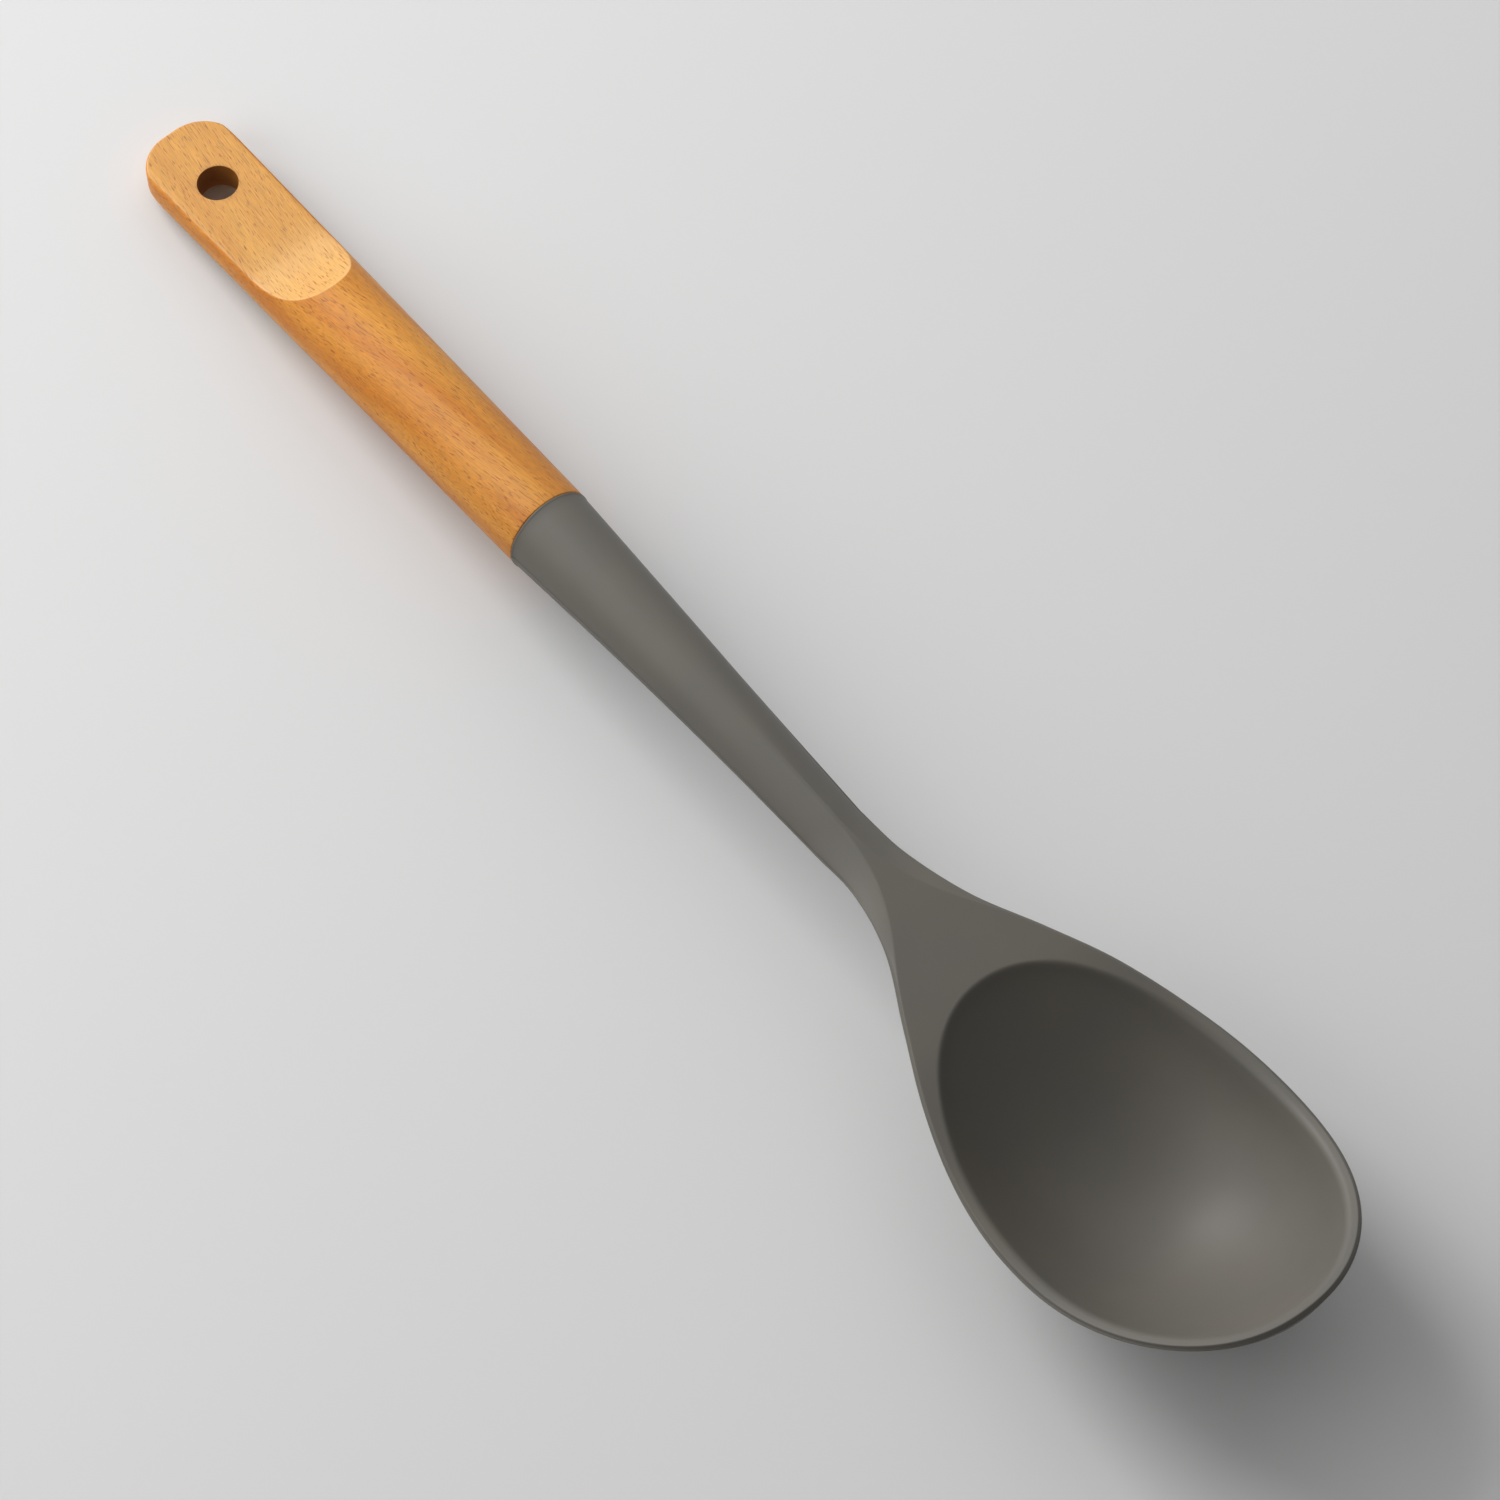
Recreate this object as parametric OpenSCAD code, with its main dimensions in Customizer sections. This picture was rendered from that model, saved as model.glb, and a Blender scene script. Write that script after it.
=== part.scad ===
// Cooking spoon: a turned beech handle, a stiff core and a silicone head moulded round the core.
// The handle's axis runs along +X, with the bowl at +X and open towards +Z.
// The sizes describe the spoon with its handle level; lie_down() sets it down on a table.

/* [Handle] */
// Length of the wooden handle, from its hanging end to the silicone
handle_length = 118; // [90:1:150]
// Diameter of the handle at its hanging end
handle_end_d = 20; // [18:0.1:24]
// Diameter of the handle where it meets the silicone
handle_joint_d = 18.1; // [16:0.1:20]
// Thickness of wood left between the two milled flats
flat_thickness = 6.4; // [5:0.1:9]
// Length of the flats before they run out
flat_length = 36; // [28:0.5:46]
// Radius of the drum that mills the flats
mill_r = 26; // [16:1:40]
// Radius of the two corners of the hanging end
end_corner_r = 8.5; // [3:0.5:10]
// Diameter of the hanging hole
hole_d = 8; // [5:0.1:9]
// Distance from the hanging end to the middle of the hanging hole
hole_inset = 15.6; // [10:0.1:20]
// Bevel round both mouths of the hanging hole
hole_bevel = 0.4; // [0.2:0.1:0.6]
// Bevel round the wood where it meets the silicone
wood_bevel = 0.3; // [0.1:0.1:0.6]

/* [Tang] */
// Diameter of the tang that is glued into the handle
tang_d = 8; // [6:0.1:10]
// Length of the tang
tang_length = 40; // [25:1:55]
// Glue gap round the tang and past its end
glue_gap = 0.1; // [0.05:0.05:0.2]
// Depth of the glue grooves round the tang
groove_depth = 0.6; // [0.3:0.1:1]
// Width of each glue groove
groove_width = 1.6; // [1:0.1:2.5]
// Distance from one glue groove to the next
groove_pitch = 6; // [4:0.5:10]

/* [Stem] */
// Length of the stem, from the wood to the narrowest place of the neck
stem_length = 84.5; // [65:0.5:105]
// Width of the neck at its narrowest place
neck_width = 11.9; // [10:0.1:15]
// Height of the neck at its narrowest place
neck_height = 10.8; // [9:0.1:13]
// How far the stem's middle line sinks below the handle's axis at the neck
neck_drop = 3; // [0:0.1:6]
// Rounding of the silicone's edge where it meets the wood
seat_round = 0.5; // [0.2:0.1:1]

/* [Bowl] */
// Distance from the narrowest place of the neck to the tip of the bowl
bowl_reach = 133; // [115:0.5:150]
// Width of the bowl at its widest place
bowl_width = 62.2; // [54:0.2:72]
// Depth of the bowl from its rim to its underside
bowl_depth = 21.6; // [19:0.2:25]
// Fall of the rim from the top of the neck to its lowest place
rim_fall = 14.2; // [10:0.2:17]
// Thickness of the bowl's wall at the bottom
bottom_wall = 3.4; // [3:0.1:4]
// Width of the rim round the front and the sides, its soft edges included
rim_land = 2.3; // [2.2:0.1:3]
// Radius of the rim's outer edge
rim_edge_r = 0.9; // [0.5:0.1:1.2]
// Height of the rim's upright side below its outer edge
rim_side = 0.8; // [0.4:0.1:1.4]
// Radius of the soft edge between the rim and the hollow
hollow_edge_r = 1.2; // [0.6:0.1:1.4]
// Length of the hollow, from its back edge on the neck to its front edge
hollow_length = 89; // [76:0.2:100]

/* [Core] */
// Thickness of silicone over the core in the bowl
bowl_skin = 1; // [0.8:0.1:1.1]
// Thickness of the core's plate in the bowl
plate_thickness = 1.1; // [0.9:0.1:1.2]
// Thickness of silicone over the core in the stem
stem_skin = 1.8; // [1.2:0.1:2.4]

/* [Hidden] */

// Overrun of every cut
over = 1;
// Half width of the narrow level crest along the top of the stem
crest = 0.3;
// Length of the last sliver that closes the tip
tip_sliver = 0.02;

// Places along the handle's axis
neck_x = handle_length + stem_length;
tip_x = neck_x + bowl_reach;
widest_share = 0.672;
widest_x = neck_x + bowl_reach * widest_share;

// Height of the top of the neck, where the sloping top face begins
neck_top = neck_height / 2 - neck_drop;

// Half widths along the stem: place as a share of its length, width as a share of its taper
stem_width_shares = [[0, 0], [0.35, 0.436], [0.7, 0.788], [1, 1]];
// Half heights along the stem, in the same shares
stem_height_shares = [[0, 0], [0.5, 0.56], [1, 1]];
// Flank from the neck to the widest place: place and share of the widening
flank_shares = [[0, 0], [0.15, 0.015], [0.3, 0.149], [0.45, 0.424], [0.6, 0.689], [0.74, 0.868],
    [0.88, 0.973], [1, 1]];
// Underside from the neck to the widest place: place and share of the deepening
keel_shares = [[0, 0], [0.15, 0.02], [0.3, 0.16], [0.45, 0.42], [0.6, 0.69], [0.75, 0.88], [0.9, 0.98],
    [1, 1]];
// Top face and rim from the neck to the tip: place and share of the rim's fall
rim_shares = [[0, 0], [0.06, 0.08], [0.2, 0.29], [0.35, 0.54], [0.53, 0.934], [0.7, 0.99], [1, 0.25]];
// Half width of the sloping top face: place from the neck to the tip and share of the half width
face_shares = [[0, 0.05], [0.07, 0.28], [0.13, 0.47], [0.176, 0.7], [0.221, 0.89], [0.26, 0.96], [0.3, 1],
    [1, 1]];
// How sharp the ridge beside the top face is, from 0, blended, to 1
ridge_shares = [[0, 0], [0.05, 1], [0.2, 1], [0.27, 0], [0.4, 0], [1, 0]];
ridge_angle = 28;
// The widest line climbs from the stem's middle to the rim over this share of the reach
climb_share = 0.27;

// Leaning of the bowl's sides: 1 is upright below the rim, 2 leans in at once
belly_power = 1.7;
// Roundness of the front of the bowl, seen from above, and of its front underside
front_powers = [2.1, 2.2];
nose_powers = [2.15, 1.67];
// Roundness of the hollow, seen from above, at its front and at its back
hollow_powers = [2.15, 2.05];
// Roundness of the hollow's floor
floor_powers = [2.1, 1.25];

function mix(a, b, t) = a + (b - a) * t;
function clamp(v, low, high) = min(max(v, low), high);
function smooth(t) = let (c = clamp(t, 0, 1)) c * c * (3 - 2 * c);

// Smooth curve through the points p, read at x; with level_end it levels off at its last point
function step_at(p, x, i = 0) = i >= len(p) - 2 || x < p[i + 1][0] ? i : step_at(p, x, i + 1);
function run(p, i) = p[i + 1][0] - p[i][0];
function rise(p, i) = (p[i + 1][1] - p[i][1]) / run(p, i);
function slope(p, i, level_end) =
    i == 0 ? rise(p, 0)
    : i == len(p) - 1 ? (level_end ? 0 : rise(p, i - 1))
    : (rise(p, i - 1) * run(p, i) + rise(p, i) * run(p, i - 1)) / (run(p, i) + run(p, i - 1));
function curve(p, x, level_end = false) =
    let (i = step_at(p, x), h = run(p, i), t = clamp((x - p[i][0]) / h, 0, 1))
    p[i][1] * (1 + 2 * t) * (1 - t) ^ 2 + slope(p, i, level_end) * h * t * (1 - t) ^ 2
    + p[i + 1][1] * t ^ 2 * (3 - 2 * t) - slope(p, i + 1, level_end) * h * t ^ 2 * (1 - t);

// Outline of the head
function stem_t(x) = clamp((x - handle_length) / stem_length, 0, 1);
function reach_t(x) = max(x - neck_x, 0) / bowl_reach;
function flank_t(x) = clamp((x - neck_x) / (widest_x - neck_x), 0, 1);
function front_t(x) = clamp((x - widest_x) / (tip_x - widest_x), 0, 1);
function half_width(x) =
    x < neck_x ? mix(handle_joint_d, neck_width, curve(stem_width_shares, stem_t(x))) / 2
    : x < widest_x ? mix(neck_width, bowl_width, curve(flank_shares, flank_t(x), true)) / 2
    : bowl_width / 2 * (1 - front_t(x) ^ front_powers[0]) ^ (1 / front_powers[1]);

// Heights of the head along its middle
function stem_mid(x) = -neck_drop * stem_t(x) ^ 2;
function stem_half(x) = mix(handle_joint_d, neck_height, curve(stem_height_shares, stem_t(x))) / 2;
function rim_z(x) = neck_top - rim_fall * curve(rim_shares, reach_t(x));
function nose_round(x) = let (d = clamp(tip_x - x, 0, rim_edge_r))
    rim_edge_r - sqrt(rim_edge_r ^ 2 - (rim_edge_r - d) ^ 2);
function top_z(x) = x < neck_x ? stem_mid(x) + stem_half(x) : rim_z(x) - nose_round(x);
function climb(x) = smooth(reach_t(x) / climb_share);
function side_z(x) = mix(stem_mid(x), rim_z(x) - rim_edge_r, climb(x));
function side_height(x) = rim_side * climb(x);
deepest = bowl_depth - rim_edge_r - rim_side;
function keel(x) =
    x < neck_x ? stem_half(x)
    : x < widest_x ? mix(neck_height / 2, deepest, curve(keel_shares, flank_t(x), true))
    : deepest * (1 - front_t(x) ^ nose_powers[0]) ^ (1 / nose_powers[1]);
function bottom_z(x) = side_z(x) - side_height(x) - keel(x);

// Half width of the level top at x: a crest on the stem, the sloping face on the neck, then the rim
function top_half(x) =
    let (w = half_width(x))
    x < neck_x ? crest
    : clamp(w * curve(face_shares, reach_t(x)), crest, w - min(rim_edge_r, w / 2));

// One half section of the head, from the middle of its top round to the middle of its underside
top_steps = 3;
side_steps = 5;
keel_steps = 7;
function half_section(x, inset) =
    let (
        w = half_width(x) - inset,
        flat = min(top_half(x), w / 2 + top_half(x) / 2),
        turn = 90 - ridge_angle * curve(ridge_shares, reach_t(x)),
        side = side_z(x),
        arc_w = (w - flat) / (1 - cos(turn)),
        arc_h = (top_z(x) - inset - side) / sin(turn),
        low = side - side_height(x),
        belly = mix(1, belly_power, climb(x)),
        deep = keel(x) - inset
    )
    concat(
        [for (i = [0 : top_steps - 1]) [flat * i / top_steps, top_z(x) - inset]],
        [for (i = [0 : side_steps - 1]) let (a = turn * (1 - i / side_steps) ^ 1.5)
            [w - arc_w * (1 - cos(a)), side + arc_h * sin(a)]],
        [for (i = [0 : keel_steps]) let (a = 90 * i / keel_steps) [w * cos(a), low - deep * sin(a) ^ belly]]
    );
function whole_ring(x, half) =
    let (n = len(half))
    concat(
        [for (i = [0 : n - 1]) [x, half[i][0], half[i][1]]],
        [for (i = [n - 2 : -1 : 1]) [x, -half[i][0], half[i][1]]]
    );

function middle(points) = [for (i = [0 : 2]) [for (p = points) p[i]] * [for (p = points) 1] / len(points)];

// Closed skin through rings of points that all have the same count
module loft(rings) {
    n = len(rings[0]);
    last = len(rings) - 1;
    sides = [for (i = [0 : last - 1], j = [0 : n - 1]) let (k = (j + 1) % n, a = i * n, b = a + n)
        each [[a + j, a + k, b + k], [a + j, b + k, b + j]]];
    first = len(rings) * n;
    caps = [for (j = [0 : n - 1]) let (k = (j + 1) % n)
        each [[k, j, first], [last * n + j, last * n + k, first + 1]]];
    polyhedron(
        points = concat([for (r = rings) each r], [middle(rings[0]), middle(rings[last])]),
        faces = concat(sides, caps),
        convexity = 4
    );
}

// Stations of the head: the rounded seat, the stem, the neck, the flanks, then closer towards the tip
stem_steps = 7;
flank_steps = 20;
front_steps = 14;
front_places = [for (i = [1 : front_steps])
    widest_x + (tip_x - widest_x - tip_sliver) * sin(90 * i / front_steps)];
stem_places = [for (i = [1 : stem_steps - 1]) handle_length + stem_length * i / stem_steps];
flank_places = [for (i = [0 : flank_steps]) mix(neck_x, widest_x, i / flank_steps)];
places = concat(stem_places, flank_places, front_places);

module head_skin() {
    seat = [for (a = [0, 30, 60, 90])
        let (x = handle_length + seat_round * (1 - cos(a)))
        whole_ring(x, half_section(x, seat_round * (1 - sin(a))))];
    loft(concat(seat, [for (x = places) whole_ring(x, half_section(x, 0))]));
}

// The hollow of the bowl. Grown, its form follows it at a distance.
hollow_front_x = tip_x - rim_land;
hollow_back_x = hollow_front_x - hollow_length;
hollow_mid_x = widest_x;
hollow_depth = bowl_depth - bottom_wall;
around = 40;
function hollow_half(grow) = bowl_width / 2 - rim_land + grow;
function hollow_reach(front, grow) =
    (front ? hollow_front_x - hollow_mid_x : hollow_mid_x - hollow_back_x) + grow;
function hollow_power(front) = front ? hollow_powers[0] : hollow_powers[1];
function egg(a, grow) =
    let (front = cos(a) >= 0, reach = hollow_reach(front, grow), round = 2 / hollow_power(front))
    [(front ? reach : -reach) * abs(cos(a)) ^ round, sign(sin(a)) * hollow_half(grow) * abs(sin(a)) ^ round];
// A loop of the hollow: its share of the outline, how far it is grown, and its depth below the rim
function hollow_loop(share, grow, depth) =
    [for (i = [0 : around - 1]) let (e = egg(-360 * i / around, grow), x = hollow_mid_x + share * e[0])
        [x, share * e[1], rim_z(x) - depth]];
function floor_depth(share, grow) =
    (hollow_depth + grow) * (1 - min(share, 1) ^ floor_powers[0]) ^ (1 / floor_powers[1]);
floor_shares = [0.06, 0.2, 0.35, 0.5, 0.64, 0.77, 0.88, 0.95];
module hollow() {
    floor_loops = [for (s = floor_shares) hollow_loop(s, 0, floor_depth(s, 0))];
    lip_loops = [for (a = [0, 30, 60])
        hollow_loop(1, hollow_edge_r * (1 - cos(a)), hollow_edge_r * (1 - sin(a)))];
    loft(concat(floor_loops, lip_loops, [hollow_loop(1, hollow_edge_r / 2 + 2 * over, -over)]));
}

// Stiff core inside the silicone: an oval spine in the stem that spreads into a thin plate under the hollow
join_length = hollow_length / 4;
top_skin = max(stem_skin, hollow_edge_r + bowl_skin / 2);
spine_end_share = 0.5;
plate_share = 0.88;
plate_end_share = 0.998;
fan_angle = 75;
core_steps = 7;
function core_join(x) = smooth((x - hollow_back_x) / join_length);
function spine_half(x) = (half_width(x) - stem_skin)
    * mix(1, spine_end_share, smooth((x - neck_x) / (hollow_back_x - neck_x)));
function plate_half(x) =
    let (front = x > hollow_mid_x, p = hollow_power(front), along = abs(x - hollow_mid_x))
    hollow_half(bowl_skin) * max(plate_share ^ p - (along / hollow_reach(front, bowl_skin)) ^ p, 0) ^ (1 / p);
// Height of the form that follows the hollow at a distance
function cover_z(x, y, grow) =
    let (
        front = x > hollow_mid_x,
        p = hollow_power(front),
        along_share = abs(x - hollow_mid_x) / hollow_reach(front, grow),
        share = (along_share ^ p + (y / hollow_half(grow)) ^ p) ^ (1 / p)
    )
    top_z(x) - max(floor_depth(share, grow), top_skin);
function core_section(x) =
    let (
        join = core_join(x),
        spine = spine_half(x),
        w = mix(spine, plate_half(x), join),
        mid = (top_z(x) + bottom_z(x)) / 2,
        high = (top_z(x) - bottom_z(x)) / 2 - stem_skin,
        points = [for (i = [0 : core_steps])
            let (
                y = w * sin(fan_angle * i / core_steps) / sin(fan_angle),
                bulge = high * sqrt(max(1 - (y * sin(fan_angle) / spine) ^ 2, 0)),
                cover = cover_z(x, y, bowl_skin),
                top = mix(min(mid + bulge, cover), cover, join),
                under = mix(mid - bulge, cover_z(x, y, bowl_skin + plate_thickness), join)
            )
            [y, top, min(under, top - plate_thickness)]]
    )
    concat([for (q = points) [q[0], q[1]]], [for (i = [core_steps : -1 : 0]) [points[i][0], points[i][2]]]);
plate_front_x = mix(hollow_mid_x, hollow_front_x + bowl_skin, plate_share * plate_end_share);
spine_steps = 15;
join_steps = 8;
spine_places = [for (i = [0 : spine_steps - 1]) mix(handle_length, hollow_back_x, i / spine_steps)];
join_places = [for (i = [0 : join_steps]) hollow_back_x + join_length * i / join_steps];
plate_places = concat([for (i = [1 : 3]) mix(hollow_back_x + join_length, hollow_mid_x, i / 3)],
    [for (a = [10 : 10 : 90]) mix(hollow_mid_x, plate_front_x, sin(a))]);
module core_form(start_places) {
    loft([for (x = concat(start_places, spine_places, join_places, plate_places))
        whole_ring(x, core_section(x))]);
}
module tang() {
    grooves = floor((tang_length - groove_pitch) / groove_pitch);
    rotate([0, 90, 0])
        difference() {
            cylinder(h = tang_length + over, d = tang_d, $fn = 48);
            for (i = [1 : grooves])
                translate([0, 0, groove_pitch * i])
                    rotate_extrude($fn = 48)
                        translate([tang_d / 2 - groove_depth, -groove_width / 2])
                            square([groove_depth + over, groove_width]);
        }
}

// The handle
module end_outline() {
    half = handle_end_d / 2;
    corner = min(end_corner_r, half - crest);
    for (s = [-1, 1])
        translate([corner, s * (half - corner)])
            circle(r = corner, $fn = 96);
    translate([0, corner - half])
        square([corner, 2 * (half - corner)]);
    translate([corner, -half])
        square([handle_length, handle_end_d]);
}
module turned_blank() {
    rotate([0, 90, 0])
        rotate_extrude($fn = 96)
            polygon([
                [0, 0],
                [handle_end_d / 2, 0],
                [handle_joint_d / 2, handle_length - wood_bevel],
                [handle_joint_d / 2 - wood_bevel, handle_length],
                [0, handle_length]
            ]);
}
module flat_cut() {
    translate([-over, -handle_end_d, flat_thickness / 2])
        cube([flat_length + over, 2 * handle_end_d, 2 * mill_r]);
    translate([flat_length, 0, flat_thickness / 2 + mill_r])
        rotate([90, 0, 0])
            cylinder(r = mill_r, h = 2 * handle_end_d, center = true, $fn = 128);
}
module hanging_hole() {
    translate([hole_inset, 0, 0]) {
        cylinder(h = flat_thickness + 2 * over, d = hole_d, center = true, $fn = 64);
        for (s = [0, 180])
            rotate([s, 0, 0])
                translate([0, 0, flat_thickness / 2 - hole_bevel])
                    cylinder(h = 2 * hole_bevel, d1 = hole_d, d2 = hole_d + 4 * hole_bevel, $fn = 64);
    }
}
module socket() {
    depth = tang_length + glue_gap;
    translate([handle_length - depth, 0, 0])
        rotate([0, 90, 0])
            cylinder(h = depth + over, d = tang_d + 2 * glue_gap, $fn = 64);
}

// Underside of the handle: the flat, its run-out, then the round
handle_steps = 120;
handle_places = [for (i = [0 : handle_steps]) handle_length * i / handle_steps];
function drum_rise(x) = let (d = clamp(x - flat_length, 0, mill_r)) mill_r - sqrt(mill_r ^ 2 - d ^ 2);
function handle_under(x) =
    -min(mix(handle_end_d, handle_joint_d, x / handle_length) / 2, flat_thickness / 2 + drum_rise(x));

// Lying down: the spoon rests on the lowest line that touches both its handle and its bowl
bowl_fall = [for (h = handle_places) min([for (x = concat(flank_places, front_places))
    (bottom_z(x) - handle_under(h)) / (x - h)])];
lie_angle = -atan(max(bowl_fall));
lift = -min([for (h = handle_places) h * sin(lie_angle) + handle_under(h) * cos(lie_angle)]);
back_reach = -flat_thickness / 2 * sin(lie_angle);
front_reach = max([for (x = front_places) x * cos(lie_angle) - bottom_z(x) * sin(lie_angle)]);
module lie_down() {
    translate([-(back_reach + front_reach) / 2, 0, lift])
        rotate([0, -lie_angle, 0])
            children();
}

module handle() {
    color("#cf9450")
        lie_down()
            difference() {
                intersection() {
                    turned_blank();
                    translate([0, 0, -handle_end_d])
                        linear_extrude(height = 2 * handle_end_d)
                            end_outline();
                }
                for (s = [0, 180])
                    rotate([s, 0, 0])
                        flat_cut();
                hanging_hole();
                socket();
            }
}
module core() {
    color("#3b3a38")
        lie_down()
            union() {
                translate([handle_length - tang_length, 0, 0])
                    tang();
                core_form([]);
            }
}
module silicone_head() {
    color("#6f6d66")
        lie_down()
            difference() {
                head_skin();
                hollow();
                core_form([handle_length - over]);
            }
}

handle();
core();
silicone_head();
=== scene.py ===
from math import acos, cos, hypot, radians, sin, sqrt

import bmesh
import bpy
from mathutils import Matrix, Vector


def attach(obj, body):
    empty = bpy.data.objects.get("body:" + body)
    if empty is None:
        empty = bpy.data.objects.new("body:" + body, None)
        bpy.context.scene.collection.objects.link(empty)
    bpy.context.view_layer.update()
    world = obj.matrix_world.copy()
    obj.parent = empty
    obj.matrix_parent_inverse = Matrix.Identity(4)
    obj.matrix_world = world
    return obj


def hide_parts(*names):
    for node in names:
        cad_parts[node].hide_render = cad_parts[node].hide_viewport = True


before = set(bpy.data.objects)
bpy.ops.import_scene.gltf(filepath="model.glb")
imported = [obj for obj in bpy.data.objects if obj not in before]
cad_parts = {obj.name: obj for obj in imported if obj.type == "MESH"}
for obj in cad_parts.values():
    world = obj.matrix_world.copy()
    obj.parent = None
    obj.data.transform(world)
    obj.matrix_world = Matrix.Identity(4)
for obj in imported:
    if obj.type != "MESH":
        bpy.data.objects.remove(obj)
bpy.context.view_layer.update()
print("frame loaded:", sorted(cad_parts))

# The spoon is described in millimetres with its handle level along X, then laid down on the table
lay = {"angle": 5.84184, "shift": -166.867, "lift": 4.11812}
layDown = (
    Matrix.Scale(0.001, 4)
    @ Matrix.Translation((lay["shift"], 0, lay["lift"]))
    @ Matrix.Rotation(-radians(lay["angle"]), 4, "Y")
)


def mix(a, b, t):
    return a + (b - a) * t


def clamp(value, low=0.0, high=1.0):
    return min(max(value, low), high)


def ease(t):
    t = clamp(t)
    return t * t * (3 - 2 * t)


def curveAt(points, x, levelEnd=False):
    # smooth curve through the listed points
    i = 0
    while i < len(points) - 2 and x >= points[i + 1][0]:
        i += 1

    def run(k):
        return points[k + 1][0] - points[k][0]

    def rise(k):
        return (points[k + 1][1] - points[k][1]) / run(k)

    def slope(k):
        if k == 0:
            return rise(0)
        if k == len(points) - 1:
            return 0 if levelEnd else rise(k - 1)
        return (rise(k - 1) * run(k) + rise(k) * run(k - 1)) / (run(k) + run(k - 1))

    h = run(i)
    t = clamp((x - points[i][0]) / h)
    return (
        points[i][1] * (1 + 2 * t) * (1 - t) ** 2
        + slope(i) * h * t * (1 - t) ** 2
        + points[i + 1][1] * t * t * (3 - 2 * t)
        - slope(i + 1) * h * t * t * (1 - t)
    )


def roundDrop(past, radius):
    # how far a rounded edge lies below its face, at a distance inside the edge
    d = clamp(radius - past, 0, radius)
    return radius - sqrt(radius**2 - d**2)


def stations(spans):
    # places along the spoon, span by span, each from its start up to the next one's
    return [mix(low, high, i / count) for low, high, count in spans for i in range(count)]


def shapeGrid(name, rings):
    # a sheet of quads is wrapped ring by ring, then its seam and poles are merged
    columns, rows = len(rings[0]), len(rings) - 1
    bm = bmesh.new()
    bmesh.ops.create_grid(bm, x_segments=columns, y_segments=rows, size=1)
    for v in bm.verts:
        column = round((v.co.x + 1) / 2 * columns) % columns
        row = round((v.co.y + 1) / 2 * rows)
        v.co = layDown @ Vector(rings[row][column])
    bmesh.ops.remove_doubles(bm, verts=bm.verts, dist=2e-7)
    bmesh.ops.recalc_face_normals(bm, faces=bm.faces)
    mesh = bpy.data.meshes.new(name)
    bm.to_mesh(mesh)
    bm.free()
    piece = bpy.data.objects.new(name, mesh)
    bpy.context.scene.collection.objects.link(piece)
    mesh.shade_smooth()
    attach(piece, "root")
    return piece


# Handle: a turned beech blank with two milled flats, a round hanging hole and a socket for the core
handle = {
    "length": 118,
    "endRadius": 10,
    "jointRadius": 9.05,
    "flatHalf": 3.2,
    "flatLength": 36,
    "millRadius": 26,
    "cornerRadius": 8.5,
    "endRound": 0.45,
    "underRound": 2.2,
    "edgeRound": 0.8,
    "millRound": 0.3,
    "jointBevel": 0.3,
    "holeRadius": 4,
    "holeInset": 15.6,
    "holeRound": 0.15,
    "socketRadius": 4.1,
    "socketDepth": 40.1,
}


def handleRadius(x):
    return mix(handle["endRadius"], handle["jointRadius"], x / handle["length"])


def flatHeight(x):
    past = clamp(x - handle["flatLength"], 0, handle["millRadius"])
    return handle["flatHalf"] + roundDrop(handle["millRadius"] - past, handle["millRadius"])


def endLimit(x, inset=0.0):
    # half width of the rounded hanging end, taken in by inset, and running on straight past its corners
    corner = handle["cornerRadius"]
    left = 0.3  # share of the corner where the straight run starts
    turned = min(x, (1 - left) * corner)
    if x < inset:
        return 0
    limit = handle["endRadius"] - corner + sqrt(max((corner - inset) ** 2 - (corner - turned) ** 2, 0))
    return limit if x <= turned else limit + (x - turned) * left / sqrt(1 - left**2)


def softMin(a, b):
    # the smaller of two widths, with their crossing eased
    power = 30
    return (max(a, 1e-3) ** -power + max(b, 1e-3) ** -power) ** (-1 / power)


def endDepth(x, y):
    # distance inside the outline of the hanging end
    corner = handle["cornerRadius"]
    past = max(abs(y) - handle["endRadius"] + corner, 0)
    return corner - hypot(corner - x, past) if past > 0 else x


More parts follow.
